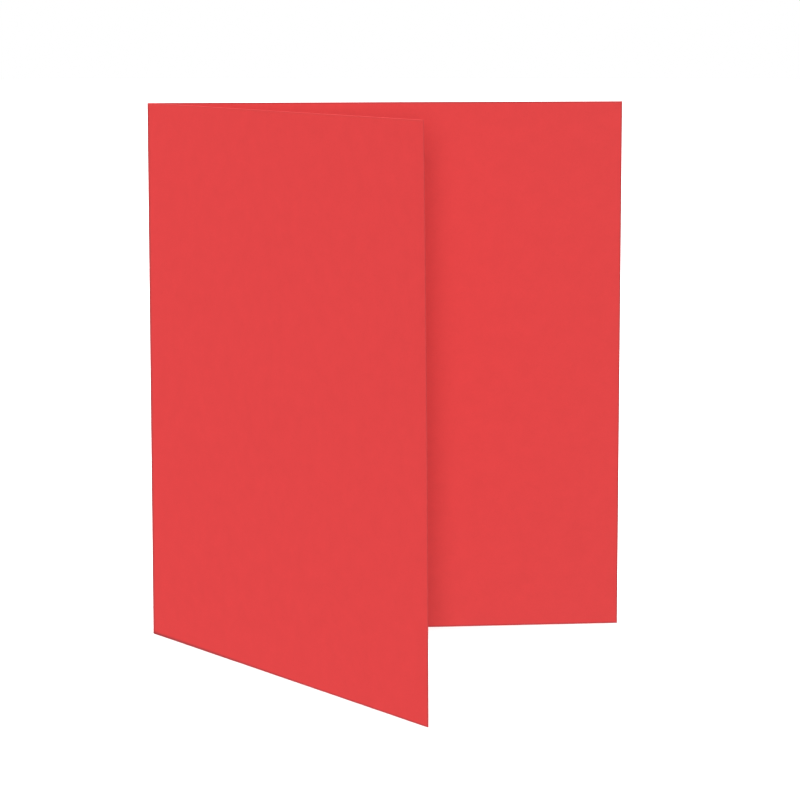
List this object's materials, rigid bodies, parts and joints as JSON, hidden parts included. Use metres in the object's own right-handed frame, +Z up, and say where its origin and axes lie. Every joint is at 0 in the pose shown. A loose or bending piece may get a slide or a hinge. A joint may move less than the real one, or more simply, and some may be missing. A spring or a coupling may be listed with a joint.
{
  "type": "folded paper sheet",
  "caption": "Plain rectangular sheet of paper folded across its middle, standing partly open on its cut edges; the front leaf swings on the crease from shut to flat.",
  "frame": {"origin": "foot of the fold, on the centre line of its bend, at the height of the cut edges that the sheet stands on", "axes": "+Z up along the fold; +X along the back leaf, from the fold to its free edge; +Y out of the back leaf's outer face, so that the front leaf lies towards -Y"},
  "size_m": [0.1486, 0.1289, 0.167],
  "materials": {
    "paper": "matt, uncoated, dyed through"
  },
  "bodies": {
    "back_half": {"back_leaf": "paper", "fold_crease": "paper"},
    "front_half": {"front_leaf": "paper"}
  },
  "joints": [
    {"name": "fold", "type": "hinge", "parent": "back_half", "child": "front_half", "pos_m": [0, 0, 0], "axis": [0, 0, -1], "range_deg": [-60, 120], "stiffness_Nm_per_rad": 0.01, "deforming": ["fold_crease"]}
  ]
}
